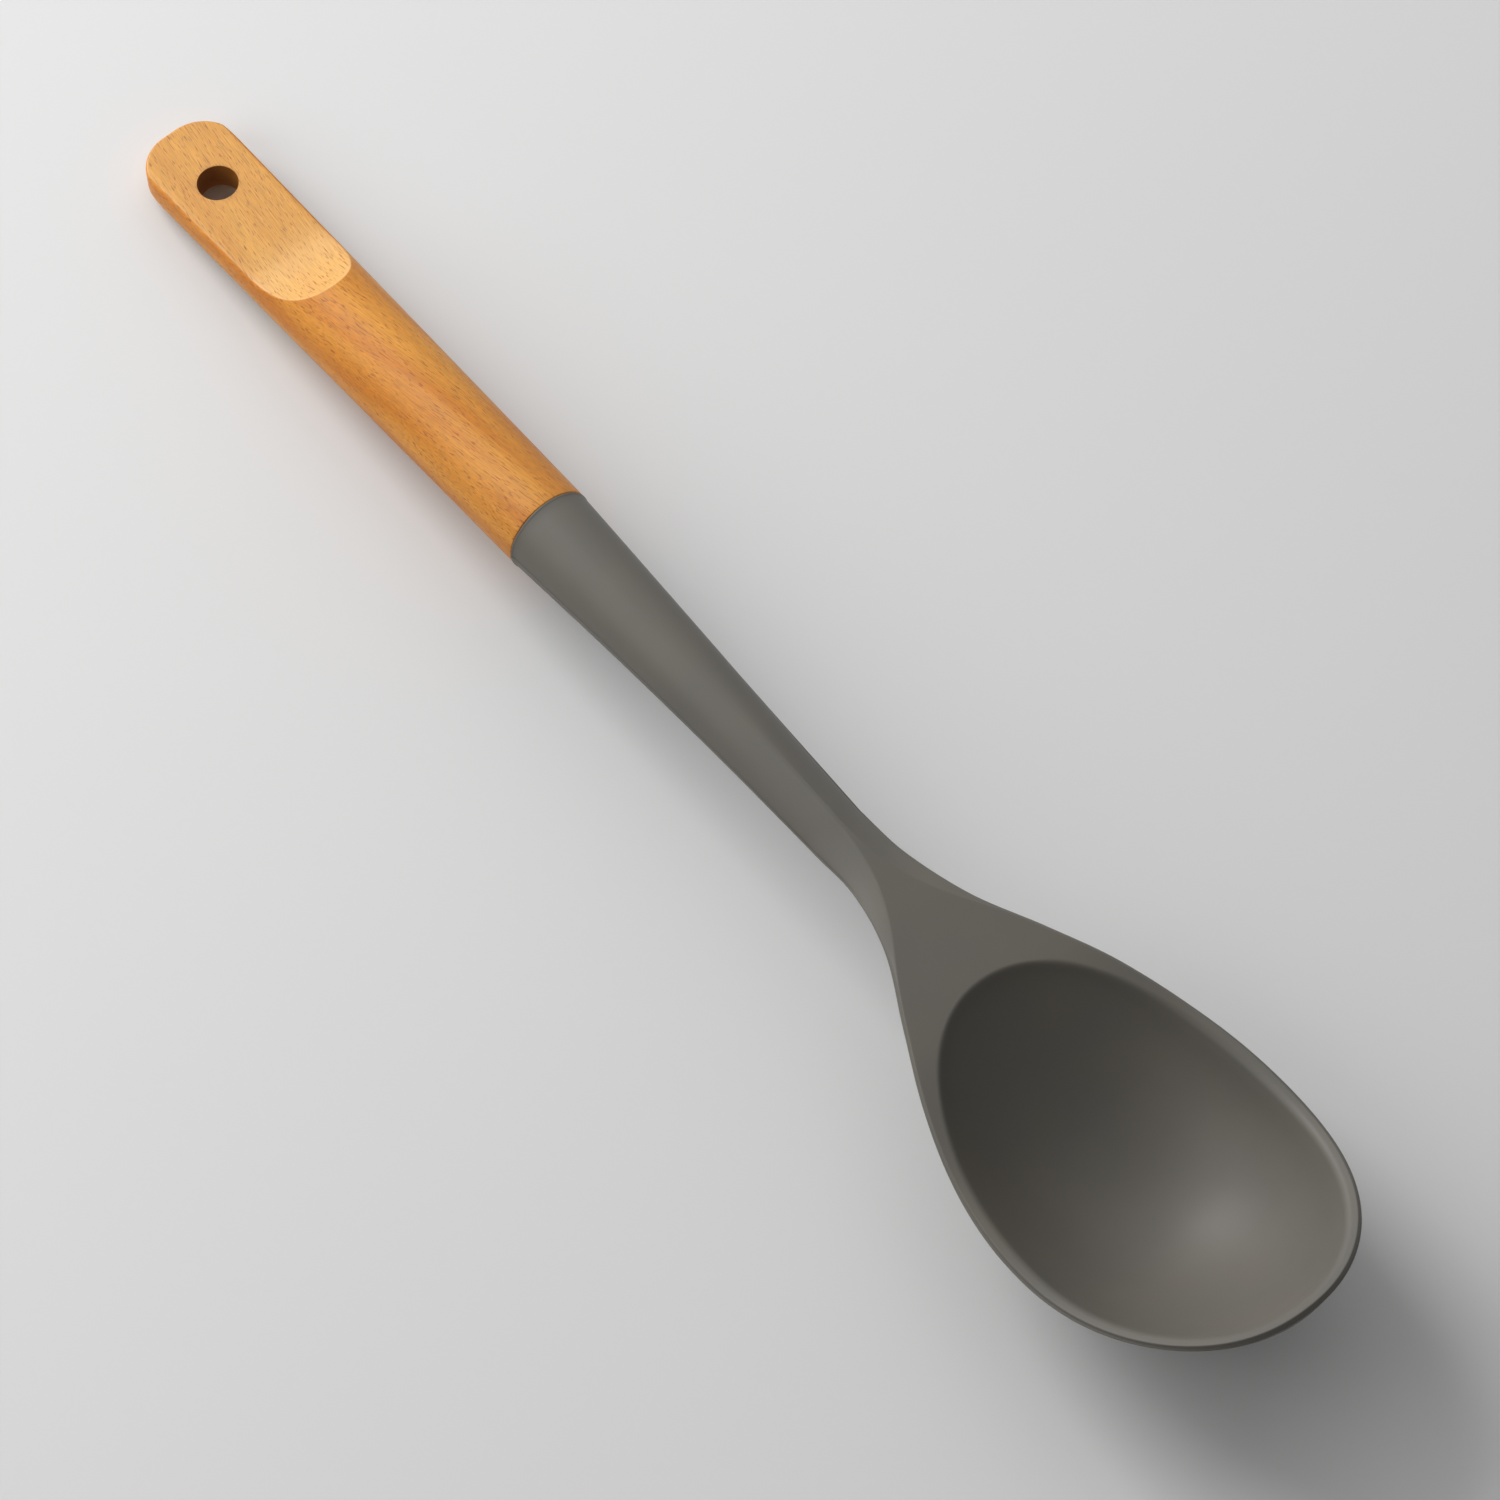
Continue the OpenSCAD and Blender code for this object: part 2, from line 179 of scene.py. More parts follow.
def handleQuarter(x, shrink=0.0, endRound="endRound", topSteps=14, edgeSteps=5, sideSteps=13):
    # section of the handle from its middle plane round to its side
    radius, flat = handleRadius(x) - shrink, flatHeight(x)
    soft = mix(handle[endRound], handle["edgeRound"], ease(x / 12))
    soft = mix(soft, handle["millRound"], ease((x - handle["flatLength"]) / 12))
    cornerAngle = max(acos(clamp(flat / radius, -1, 1)), radians(3))
    walled = endLimit(x) < radius * sin(cornerAngle)
    cornerY = softMin(endLimit(x), radius * sin(cornerAngle))
    cornerZ = min(flat, radius * cos(cornerAngle))
    if walled:
        innerY = softMin(endLimit(x, soft), cornerY)
        edge = [mix(innerY, cornerY, sin(radians(90 * i / edgeSteps))) for i in range(edgeSteps + 1)]
        edge = [(y, flat - roundDrop(max(endDepth(x, y), 0), soft)) for y in edge]
        startAngle = acos((flat - soft) / radius)
    else:
        soft = min(soft, 0.6 * cornerY)
        innerY = cornerY - soft
        startAngle = acos(clamp((cornerZ - soft * sin(cornerAngle)) / radius, -1, 1))
        first = (innerY, min(flat, sqrt(radius**2 - innerY**2)))
        last = (softMin(radius * sin(startAngle), endLimit(x)), radius * cos(startAngle))
        edge = []
        for i in range(edgeSteps + 1):
            t = i / edgeSteps
            edge.append(tuple(
                a * (1 - t) ** 2 + 2 * b * t * (1 - t) + c * t * t
                for a, b, c in zip(first, (cornerY, cornerZ), last)
            ))
    top = []
    for i in range(topSteps):
        y = innerY * i / topSteps
        z = min(flat, sqrt(radius**2 - y * y))
        top.append((y, z - roundDrop(max(endDepth(x, y), 0), soft) if x < handle["cornerRadius"] else z))
    side = []
    for i in range(1, sideSteps + 1):
        angle = mix(startAngle, radians(90), i / sideSteps)
        side.append((softMin(radius * sin(angle), endLimit(x)), radius * cos(angle)))
    return top + edge + side


def handleRing(x, shrink=0.0):
    # the end is rounded more on its underside
    upper, under = handleQuarter(x, shrink), handleQuarter(x, shrink, "underRound")
    half = upper + [(y, -z) for y, z in reversed(under[:-1])]
    return [(x, y, z) for y, z in half] + [(x, -y, z) for y, z in reversed(half[1:-1])]


def roundRing(x, radius, count):
    return [(x, radius * sin(radians(360 * i / count)), radius * cos(radians(360 * i / count))) for i in range(count)]


def markHandle(mesh):
    # distance in from the edge of the milled flats, in mm, and the wall of the bore, which is darkened as painted
    # shade
    level, step, near, far = layDown.inverted(), 0.01, 0.05, 30
    millEdge = mesh.attributes.new("millEdge", "FLOAT", "POINT")
    boreShade = mesh.attributes.new("boreShade", "FLOAT", "POINT")
    for i, v in enumerate(mesh.vertices):
        x, y, z = level @ v.co
        flat, rise = flatHeight(x), flatHeight(x + step) - flatHeight(x)
        slope = hypot(2 * flat * rise / step, 2 * y)
        inside = (handleRadius(x) ** 2 - y * y - flat**2) / max(slope, 1)
        depth = flat - abs(z)
        millEdge.data[i].value = clamp(min(inside, -depth) if depth > near else inside, -far, far)
        wall = hypot(x - handle["holeInset"], y) - handle["holeRadius"]
        boreShade.data[i].value = clamp(1 - wall / handle["holeRound"]) if depth > -near and wall < 0.5 else 0


def makeDrill():
    # the drill's path, flared where the mouths of the hole are eased
    radius, mouth, flat, past = handle["holeRadius"], handle["holeRound"], handle["flatHalf"], 2
    # the arc stops short of level, so that it crosses the flat cleanly
    arc = []
    for angle in range(0, 73, 12):
        turn = radians(angle)
        arc.append((radius + mouth * (1 - cos(turn)), flat - mouth * (1 - sin(turn))))
    upper = arc + [(radius + mouth + past, flat + past), (0, flat + past)]
    profile = [(r, -z) for r, z in reversed(upper)] + upper
    bm = bmesh.new()
    verts = [bm.verts.new((r, 0, z)) for r, z in profile]
    edges = [bm.edges.new(pair) for pair in zip(verts, verts[1:])]
    bmesh.ops.spin(
        bm, geom=verts + edges, cent=(0, 0, 0), axis=(0, 0, 1), angle=radians(360), steps=96, use_merge=True
    )
    bmesh.ops.remove_doubles(bm, verts=bm.verts, dist=1e-4)
    bmesh.ops.recalc_face_normals(bm, faces=bm.faces)
    bmesh.ops.translate(bm, vec=(handle["holeInset"], 0, 0), verts=bm.verts)
    bmesh.ops.transform(bm, matrix=layDown, verts=bm.verts)
    mesh = bpy.data.meshes.new("drill")
    bm.to_mesh(mesh)
    bm.free()
    mesh.shade_smooth()
    drill = bpy.data.objects.new("drill", mesh)
    bpy.context.scene.collection.objects.link(drill)
    return drill


def bakeModifiers(piece):
    graph = bpy.context.evaluated_depsgraph_get()
    mesh = bpy.data.meshes.new_from_object(piece.evaluated_get(graph))
    # slivers left by a cut are merged
    sliver = 3e-6
    bm = bmesh.new()
    bm.from_mesh(mesh)
    bmesh.ops.remove_doubles(bm, verts=bm.verts, dist=sliver)
    bmesh.ops.dissolve_degenerate(bm, edges=bm.edges, dist=sliver)
    bm.to_mesh(mesh)
    bm.free()
    piece.modifiers.clear()
    piece.data = mesh


def makeHandle():
    corner, length, bevel = handle["cornerRadius"], handle["length"], handle["jointBevel"]
    endSteps, bevelSteps, flatLength = 26, 4, handle["flatLength"]
    places = [corner * (1 - cos(radians(90 * i / endSteps))) for i in range(endSteps)]
    # the rings are closest where the flats run out
    places += stations([(corner, flatLength, 18), (flatLength, 50, 20), (50, 54, 32), (54, length - bevel, 44)])
    places.append(length - bevel)
    rings = [handleRing(x) for x in places]
    columns = len(rings[0])
    rings.insert(0, [(0, 0, 0)] * columns)
    for i in range(1, bevelSteps + 1):
        turn = radians(90 * i / bevelSteps)
        rings.append(handleRing(length - bevel * (1 - sin(turn)), bevel * (1 - cos(turn))))
    socket, depth = handle["socketRadius"], handle["socketDepth"]
    for x in (length, length - 1, length - depth / 2, length - depth):
        rings.append(roundRing(x, socket, columns))
    rings.append([(length - depth, 0, 0)] * columns)
    piece = shapeGrid("turnedHandle", rings)
    drill = makeDrill()
    cut = piece.modifiers.new("hangingHole", "BOOLEAN")
    cut.operation, cut.object, cut.solver = "DIFFERENCE", drill, "EXACT"
    bakeModifiers(piece)
    bpy.data.objects.remove(drill)
    piece.data.set_sharp_from_angle(angle=radians(40))
    markHandle(piece.data)
    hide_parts("handle")
    print("handle made:", len(piece.data.polygons), "faces")
    return piece


# Head: one silicone moulding, from the stem through the ridged neck to the egg-shaped bowl
head = {
    "start": 118,
    "stemLength": 84.5,
    "jointDiameter": 18.1,
    "neckWidth": 11.9,
    "neckHeight": 10.8,
    "neckDrop": 3,
    "seatBead": [(0, 0.4), (0.03, 0.15), (0.1, -0.03), (0.22, -0.13), (0.36, -0.13), (0.52, -0.05), (0.8, 0)],
    "reach": 133,
    "width": 62.2,
    "depth": 21.6,
    "rimFall": 14.2,
    "bottomWall": 3.4,
    "rimLand": 2.3,
    "rimEdge": 0.4,
    "rimDraft": 0.25,
    "rimSides": (0.4, 0.65),
    "hollowLength": 89,
    "lipShifts": (-0.25, -0.7),
    "lipSofts": (1, 3.2),
    "wallSlope": 2,
    "facetPowers": (1.05, 1.3),
    "widestShare": 0.672,
    "climbShare": 0.27,
    "bellyPower": 1.7,
    "stemWidths": [(0, 0), (0.35, 0.436), (0.7, 0.788), (1, 1)],
    "stemHeights": [(0, 0), (0.5, 0.56), (1, 1)],
    "flanks": [
        (0, 0), (0.15, 0.015), (0.3, 0.149), (0.45, 0.424), (0.6, 0.689), (0.74, 0.868), (0.88, 0.973), (1, 1),
    ],
    "keels": [(0, 0), (0.15, 0.02), (0.3, 0.16), (0.45, 0.42), (0.6, 0.69), (0.75, 0.88), (0.9, 0.98), (1, 1)],
    "rims": [(0, 0), (0.06, 0.08), (0.2, 0.29), (0.35, 0.54), (0.53, 0.934), (0.7, 0.99), (1, 0.25)],
    "faces": [
        (0, 0.02), (0.05, 0.1), (0.09, 0.24), (0.13, 0.42), (0.176, 0.68), (0.221, 0.89), (0.26, 0.96), (0.3, 1),
        (1, 1),
    ],
    "ridges": [
        (-0.4, 0.15), (-0.3, 0.25), (-0.2, 0.5), (-0.1, 0.85), (0, 1), (0.2, 1), (0.3, 0.3), (0.4, 0), (1, 0),
    ],
    "frontPowers": (2.1, 2.2),
    "nosePowers": (2.15, 1.67),
    "hollowPowers": (2.15, 2.05),
    "floorPowers": (2.1, 1.25),
}
core = {"bowlSkin": 1, "plate": 1.1, "stemSkin": 1.8, "topSkin": 1.8, "endShare": 0.5, "plateShare": 0.88, "fan": 75}

neckX = head["start"] + head["stemLength"]
tipX = neckX + head["reach"]
wideX = neckX + head["reach"] * head["widestShare"]
hollowFront = tipX - head["rimLand"]
hollowBack = hollowFront - head["hollowLength"]
hollowDepth = head["depth"] - head["bottomWall"]
neckTop = head["neckHeight"] / 2 - head["neckDrop"]
deepest = head["depth"] - head["rimEdge"] - head["rimSides"][0]


def stemShare(x):
    return clamp((x - head["start"]) / head["stemLength"])


def reachShare(x):
    return max(x - neckX, 0) / head["reach"]


def flankShare(x):
    return clamp((x - neckX) / (wideX - neckX))


def frontShare(x):
    return clamp((x - wideX) / (tipX - wideX))


def halfWidth(x):
    if x < neckX:
        return mix(head["jointDiameter"], head["neckWidth"], curveAt(head["stemWidths"], stemShare(x))) / 2
    if x < wideX:
        return mix(head["neckWidth"], head["width"], curveAt(head["flanks"], flankShare(x), True)) / 2
    p, q = head["frontPowers"]
    return head["width"] / 2 * (1 - frontShare(x) ** p) ** (1 / q)


def stemMid(x):
    return -head["neckDrop"] * stemShare(x) ** 2


def stemHalf(x):
    return mix(head["jointDiameter"], head["neckHeight"], curveAt(head["stemHeights"], stemShare(x))) / 2


def rimZ(x):
    return neckTop - head["rimFall"] * curveAt(head["rims"], reachShare(x))


def topZ(x):
    return stemMid(x) + stemHalf(x) if x < neckX else rimZ(x)


def climb(x):
    # from 0 on the round stem to 1 on the rimmed bowl
    return ease(reachShare(x) / head["climbShare"])


def sideZ(x):
    return mix(stemMid(x), rimZ(x) - head["rimEdge"], climb(x))


def lowZ(x):
    # the rim's side is deepest at the tip
    return sideZ(x) - mix(*head["rimSides"], frontShare(x) ** 2) * climb(x)


def keel(x):
    # depth of the underside below the side's lower edge
    if x < neckX:
        return stemHalf(x)
    if x < wideX:
        return mix(head["neckHeight"] / 2, deepest, curveAt(head["keels"], flankShare(x), True))
    p, q = head["nosePowers"]
    return deepest * (1 - frontShare(x) ** p) ** (1 / q)


def topHalf(x):
    # half width of the level top, which is no more than a crest along the stem
    w, crest = halfWidth(x), 0.3
    if x < neckX:
        return crest
    return clamp(w * curveAt(head["faces"], reachShare(x)), crest, w - head["rimEdge"] - head["rimDraft"])


def hollowReach(front, grow):
    return (hollowFront - wideX if front else wideX - hollowBack) + grow


def hollowSpan(grow):
    return head["width"] / 2 - head["rimLand"] + grow


def hollowShare(x, y, grow):
    # 0 in the middle of the hollow and 1 on its outline
    front = x > wideX
    p = head["hollowPowers"][0 if front else 1]
    return ((abs(x - wideX) / hollowReach(front, grow)) ** p + (abs(y) / hollowSpan(grow)) ** p) ** (1 / p)


def hollowHalf(x, grow, share=1.0):
    front = x > wideX
    p = head["hollowPowers"][0 if front else 1]
    return hollowSpan(grow) * max(share**p - (abs(x - wideX) / hollowReach(front, grow)) ** p, 0) ** (1 / p)


def floorDepth(share, grow=0.0):
    p, q = head["floorPowers"]
    return (hollowDepth + grow) * (1 - min(share, 1) ** p) ** (1 / q)


def hollowDrop(x, y):
    # depth of the hollow below the rim, with a lip that is sharper at the back
    backLip, run = 4, 30
    front = ease((x - hollowBack - backLip) / run)
    share, soft = hollowShare(x, y, mix(*head["lipShifts"], front)), mix(*head["lipSofts"], front)
    drop = floorDepth(share) if share < 1 else -head["wallSlope"] * hypot(x - wideX, y) * (1 - 1 / share)
    if drop <= -soft:
        return 0
    return drop if drop >= soft else (drop + soft) ** 2 / (4 * soft)


innerSteps, lipSteps, landSteps, edgeSteps, keelSteps = 36, 12, 3, 10, 28
# the thin line where the mould's halves met: out from the side, and up
partingLine = [(0, 0.2), (0.06, 0.13), (0.2, 0.08), (0.21, -0.05), (0.06, -0.18)]


def topPlaces(hollow, flat, width):
    # places from the middle out to the edge, closest round the lip of the hollow
    inner = max(hollow - 2.5, 0.6 * flat)
    outer = min(max(hollow + 1.2, 0.9 * flat), 0.985 * flat)
    places = [inner * i / innerSteps for i in range(innerSteps + 1)]
    places += [mix(inner, outer, i / lipSteps) for i in range(1, lipSteps + 1)]
    places += [mix(outer, flat, i / landSteps) for i in range(1, landSteps + 1)]
    places += [mix(flat, width, sin(radians(90 * i / edgeSteps))) for i in range(1, edgeSteps)]
    return places


def acrossRing(x, inset=0.0):
    # section across the stem, the neck and the back of the bowl
    w, flat, top, side = halfWidth(x) - inset, topHalf(x), topZ(x) - inset, sideZ(x)
    draft = head["rimDraft"] * climb(x)
    ridge = curveAt(head["ridges"], (x - neckX) / head["reach"])
    p, q = mix(2, head["facetPowers"][0], ridge), mix(2, head["facetPowers"][1], ridge)
    webShare = 0.13
    onBowl = ease(reachShare(x) / webShare)
    bowlPlaces = topPlaces(hollowHalf(x, 0), flat, w - draft)
    count = len(bowlPlaces)
    half = []
    for i, place in enumerate(bowlPlaces):
        y = mix(w * sin(radians(90 * i / count)), place, onBowl)
        z = side + (top - side) * (1 - clamp((y - flat) / (w - draft - flat)) ** p) ** (1 / q)
        half.append((y, z - hollowDrop(x, y)))
    half.append((w - draft, side))
    belly, low, deep = mix(1, head["bellyPower"], climb(x)), lowZ(x), keel(x) - inset
    half += [(w + out, low + up) for out, up in partingLine]
    for i in range(keelSteps + 1):
        turn = radians(90 * i / keelSteps)
        half.append((w * cos(turn), low - max(deep * sin(turn) ** belly, partingLine[0][1])))
    return [(x, y, z) for y, z in half] + [(x, -y, z) for y, z in reversed(half[1:-1])]


def outlineReach(angle):
    # distance from the middle of the bowl to its outline
    p, q = head["frontPowers"]
    low, high = 0.0, tipX - wideX + 1
    for _ in range(40):
        r = (low + high) / 2
        inside = (r * cos(angle) / (tipX - wideX)) ** p + (r * sin(angle) / (head["width"] / 2)) ** q < 1
        low, high = (r, high) if inside else (low, r)
    return low


def fanRing(angle):
    # two mirrored sections that fan round the front of the bowl
    reach, edge = outlineReach(angle), head["rimEdge"]
    direction = (cos(angle), sin(angle))
    hollow = 1 / hollowShare(wideX + direction[0], direction[1], 0)
    half = []
    top = reach - head["rimDraft"]
    for r in topPlaces(hollow, top - edge, top) + [top]:
        x, y = wideX + r * direction[0], r * direction[1]
        half.append((x, y, rimZ(x) - roundDrop(top - r, edge) - hollowDrop(x, y)))
    x, y = wideX + reach * direction[0], reach * direction[1]
    half += [(x + out * direction[0], y + out * direction[1], lowZ(x) + up) for out, up in partingLine]
    for i in range(keelSteps + 1):
        share = cos(radians(90 * i / keelSteps))
        px, py = wideX + share * (x - wideX), share * y
        bulge = max(1 - (py / max(halfWidth(px), 1e-6)) ** 2, 0) if i else 0
        drop = max(keel(px) * bulge ** (head["bellyPower"] / 2), partingLine[0][1])
        half.append((px, py, lowZ(px) - drop))
    return half + [(px, -py, pz) for px, py, pz in reversed(half[1:-1])]


def coreRing(x, count):
    # wall of the cavity that the core fills
    join = ease((x - hollowBack) / (head["hollowLength"] / 4))
    spine = (halfWidth(x) - core["stemSkin"]) * mix(1, core["endShare"], ease((x - neckX) / (hollowBack - neckX)))
    w = mix(spine, hollowHalf(x, core["bowlSkin"], core["plateShare"]), join)
    bottom = lowZ(x) - keel(x)
    middle, high = (topZ(x) + bottom) / 2, (topZ(x) - bottom) / 2 - core["stemSkin"]

    def coverZ(y, grow):
        return topZ(x) - max(floorDepth(hollowShare(x, y, grow), grow), core["topSkin"])

    fan, steps = radians(core["fan"]), count // 4
    upper, under = [], []
    for i in range(steps + 1):
        y = w * sin(fan * i / steps) / sin(fan)
        bulge = high * sqrt(max(1 - (y * sin(fan) / spine) ** 2, 0))
        cover = coverZ(y, core["bowlSkin"])
        top = mix(min(middle + bulge, cover), cover, join)
        low = mix(middle - bulge, coverZ(y, core["bowlSkin"] + core["plate"]), join)
        upper.append((y, top))
        under.append((y, min(low, top - core["plate"])))
    half = upper + list(reversed(under))
    half = half[: count // 2] + [half[-1]]
    return [(x, y, z) for y, z in half] + [(x, -y, z) for y, z in reversed(half[1:-1])]


def makeHead():
    outer = [acrossRing(head["start"] + past, inset) for past, inset in head["seatBead"]]
    # the rings are closest along the back lip of the hollow
    lipStart, lipEnd, lipOut = hollowBack - 1.5, hollowBack + 7, hollowBack + 17
    places = stations([
        (head["start"] + head["seatBead"][-1][0], neckX, 52), (neckX, lipStart, 44), (lipStart, lipEnd, 30),
        (lipEnd, lipOut, 18), (lipOut, wideX, 34),
    ])
    outer += [acrossRing(x) for x in places[1:]]
    fanSteps, closeSteps, cavitySteps = 52, 10, 48
    outer += [fanRing(radians(90 - 90 * i / fanSteps)) for i in range(fanSteps + 1)]
    count = len(outer[0])
    # the cavity closes just inside the plate's edge
    front = mix(wideX, hollowFront + core["bowlSkin"], core["plateShare"] * 0.998)
    inner = [mix(wideX, front, cos(radians(90 * i / closeSteps))) for i in range(closeSteps + 1)]
    inner += [mix(wideX, head["start"], i / cavitySteps) for i in range(1, cavitySteps + 1)]
    cavity = [coreRing(x, count) for x in inner]
    middle = [(front, 0, (cavity[0][0][2] + cavity[0][count // 2][2]) / 2)] * count
    piece = shapeGrid("siliconeHead", [middle] + cavity + outer)
    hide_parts("silicone_head")
    print("head made:", len(piece.data.polygons), "faces")
    return piece


# Materials
def linear(hexColour):
    parts = [int(hexColour[i : i + 2], 16) / 255 for i in (1, 3, 5)]
    return [c / 12.92 if c <= 0.04045 else ((c + 0.055) / 1.055) ** 2.4 for c in parts] + [1]


def addNode(tree, kind, settings, links=None, output=0):
    # settings go to the node's own value of that name, or else to its socket; the named output is given back
    node = tree.nodes.new("ShaderNode" + kind)
    for key, value in settings.items():
        if isinstance(key, str) and hasattr(node, key):
            setattr(node, key, value)
        else:
            node.inputs[key].default_value = value
    for socket, source in (links or {}).items():
        tree.links.new(node.inputs[socket], source)
    return node.outputs[output]


def newMaterial(name, **shader):
    material = bpy.data.materials.new(name)
    material.use_nodes = True
    bsdf = material.node_tree.nodes["Principled BSDF"]
    for socket, value in shader.items():
        bsdf.inputs[socket.replace("_", " ")].default_value = value
    return material, material.node_tree, bsdf


# Beech: turned, milled and sanded, then oiled. Its short ray flecks lie in a fine straight grain, and the oil
# gives a soft shine along the top. The flecks are 1.5 by 0.2 mm, as in the real wood.
beech = {
    "tan": "#db9537",
    "amber": "#c77819",
    "fleck": "#8f4a12",
    "milled": "#d09d51",
    # pale colour for the line round the run-out, and for the run-out's painted highlight
    "edgeLineAndHighlight": "#f3d49a",
    # dark colour for the wall of the hanging hole, painted shade inside the hole
    "boreShade": "#7c4c1c",
    "roughness": 0.45,
    "fleckScale": (0.55, 5, 5),
    "fibreScale": (0.2, 5.5, 5.5),
    "bandScale": (0.012, 0.2, 0.2),
    "roundTurn": 8,
    "flatTurn": -8,
    "millPitch": 1.3,
}


def beechMaterial():
    material, tree, bsdf = newMaterial("oiledBeech", Roughness=beech["roughness"], IOR=1.42)
    objectCoords = addNode(tree, "TexCoord", {}, output=3)
    back = Matrix.Rotation(radians(lay["angle"]), 4, "Y")
    level = addNode(
        tree, "Mapping",
        {"Scale": (1000, 1000, 1000), "Rotation": (0, radians(lay["angle"]), 0),
         "Location": back @ -Vector((lay["shift"], 0, lay["lift"]))},
        {"Vector": objectCoords},
    )
    millEdge = addNode(tree, "Attribute", {"attribute_name": "millEdge"}, output=2)
    boreShade = addNode(tree, "Attribute", {"attribute_name": "boreShade"}, output=2)
    milled = addNode(tree, "MapRange", {"From Min": -0.08, "From Max": 0.08}, {"Value": millEdge})
    # across the flats the pattern keeps its depth, so that the run-out doesn't cut the flecks short
    alongX = addNode(tree, "SeparateXYZ", {}, {0: level})
    alongY, alongZ = alongX.node.outputs[1], alongX.node.outputs[2]
    depth = addNode(tree, "MapRange", {"To Min": 1, "To Max": 0.05}, {"Value": milled})
    kept = addNode(tree, "Math", {"operation": "MULTIPLY"}, {0: alongZ, 1: depth})
    kept = addNode(tree, "CombineXYZ", {}, {0: alongX, 1: alongY, 2: kept})
    turn = addNode(
        tree, "MapRange", {"To Min": -radians(beech["roundTurn"]), "To Max": -radians(beech["flatTurn"])},
        {"Value": milled},
    )
    grain = addNode(tree, "VectorRotate", {"rotation_type": "Z_AXIS"}, {"Vector": kept, "Angle": turn})

    # bands, fibres and flecks: scale, detail, distortion, and the range of the noise that shows
    patterns = []
    for scale, detail, distortion, low, high in (
        (beech["bandScale"], 2, 0.6, 0.35, 0.65),
        (beech["fibreScale"], 2, 0, 0.3, 0.7),
        (beech["fleckScale"], 0, 0, 0.645, 0.75),
    ):
        stretched = addNode(tree, "Mapping", {"Scale": scale}, {"Vector": grain})
        noise = addNode(
            tree, "TexNoise", {"Scale": 1, "Detail": detail, "Distortion": distortion}, {"Vector": stretched}
        )
        patterns.append(addNode(tree, "MapRange", {"From Min": low, "From Max": high}, {"Value": noise}))
    bands, fibres, flecks = patterns

    # the blank is a little darker towards the joint, a painted highlight makes the run-out paler, and a pale line
    # runs round its edge
    shade = addNode(tree, "MapRange", {"To Min": 0.8, "To Max": 1.14}, {"Value": fibres})
    darkerTowardJoint = addNode(
        tree, "MapRange", {"From Min": 50, "From Max": 118, "To Min": 1, "To Max": 0.88}, {"Value": alongX}
    )
    runOutHighlight = addNode(tree, "MapRange", {"From Min": 32, "From Max": 40}, {"Value": alongX})
    runOutHighlight = addNode(tree, "Math", {"operation": "MULTIPLY"}, {0: runOutHighlight, 1: milled})
    lineIn = addNode(tree, "MapRange", {"From Min": -0.22, "From Max": 0}, {"Value": millEdge})
    lineOut = addNode(tree, "MapRange", {"From Min": 0.28, "From Max": 0}, {"Value": millEdge})
    reach = addNode(tree, "MapRange", {"From Min": 36, "From Max": 50}, {"Value": alongX})
    line = addNode(tree, "Math", {"operation": "MULTIPLY"}, {0: lineIn, 1: lineOut})
    line = addNode(tree, "Math", {"operation": "MULTIPLY"}, {0: line, 1: reach})
    colour = addNode(
        tree, "Mix", {"data_type": "RGBA", 6: linear(beech["tan"]), 7: linear(beech["amber"])}, {0: bands}, output=2
    )
    # each layer blends in a colour, or darkens where no colour is named
    for layer, strength, name in (
        # the pale run-out layer here is a painted highlight
        (milled, 0.6, "milled"), (shade, 1, None), (darkerTowardJoint, 1, None), (runOutHighlight, 0.16, "edgeLineAndHighlight"),
        # the bore layer here darkens the hole's wall as painted shade
        (flecks, 0.72, "fleck"), (line, 0.3, "edgeLineAndHighlight"), (boreShade, 0.8, "boreShade"),
    ):
        if name:
            amount = addNode(tree, "Math", {"operation": "MULTIPLY", 1: strength}, {0: layer})
            colour = addNode(
                tree, "Mix", {"data_type": "RGBA", 7: linear(beech[name])}, {0: amount, 6: colour}, output=2
            )
        else:
            colour = addNode(
                tree, "Mix", {"data_type": "RGBA", "blend_type": "MULTIPLY", 0: strength}, {6: colour, 7: layer},
                output=2,
            )
    tree.links.new(bsdf.inputs["Base Color"], colour)

    # faint arcs from the cutter, fibres, and flecks that lie a little below them
    wave = addNode(tree, "Math", {"operation": "MULTIPLY", 1: 6.283 / beech["millPitch"]}, {0: millEdge})
    wave = addNode(tree, "Math", {"operation": "SINE"}, {0: wave})
    near = addNode(tree, "MapRange", {"From Min": 9, "From Max": 1}, {"Value": millEdge})
    arcs = addNode(tree, "Math", {"operation": "MULTIPLY"}, {0: wave, 1: near})
    arcs = addNode(tree, "Math", {"operation": "MULTIPLY"}, {0: arcs, 1: milled})
    height = addNode(tree, "Math", {"operation": "MULTIPLY_ADD", 1: 0.5}, {0: arcs, 2: fibres})
    height = addNode(tree, "Math", {"operation": "MULTIPLY_ADD", 1: -1.5}, {0: flecks, 2: height})
    bump = addNode(tree, "Bump", {"Strength": 0.5, "Distance": 0.00003}, {"Height": height})
    tree.links.new(bsdf.inputs["Normal"], bump)
    low, high = beech["roughness"] - 0.05, beech["roughness"] + 0.08
    rough = addNode(tree, "MapRange", {"To Min": low, "To Max": high}, {"Value": fibres})
    rough = addNode(tree, "Math", {"operation": "MULTIPLY_ADD", 1: -0.1}, {0: milled, 2: rough})
    tree.links.new(bsdf.inputs["Roughness"], rough)
    return material


# Silicone rubber: moulded in a lightly blasted steel mould, so it is dull all over with a broad soft shine and
# hardly any marks. The blasting is about 0.1 mm and is drawn at 0.35 mm so that it shows.
silicone = {"grey": "#5e5b55", "warm": "#625e56", "roughness": 0.5, "cloudScale": 60, "grainScale": 2900}


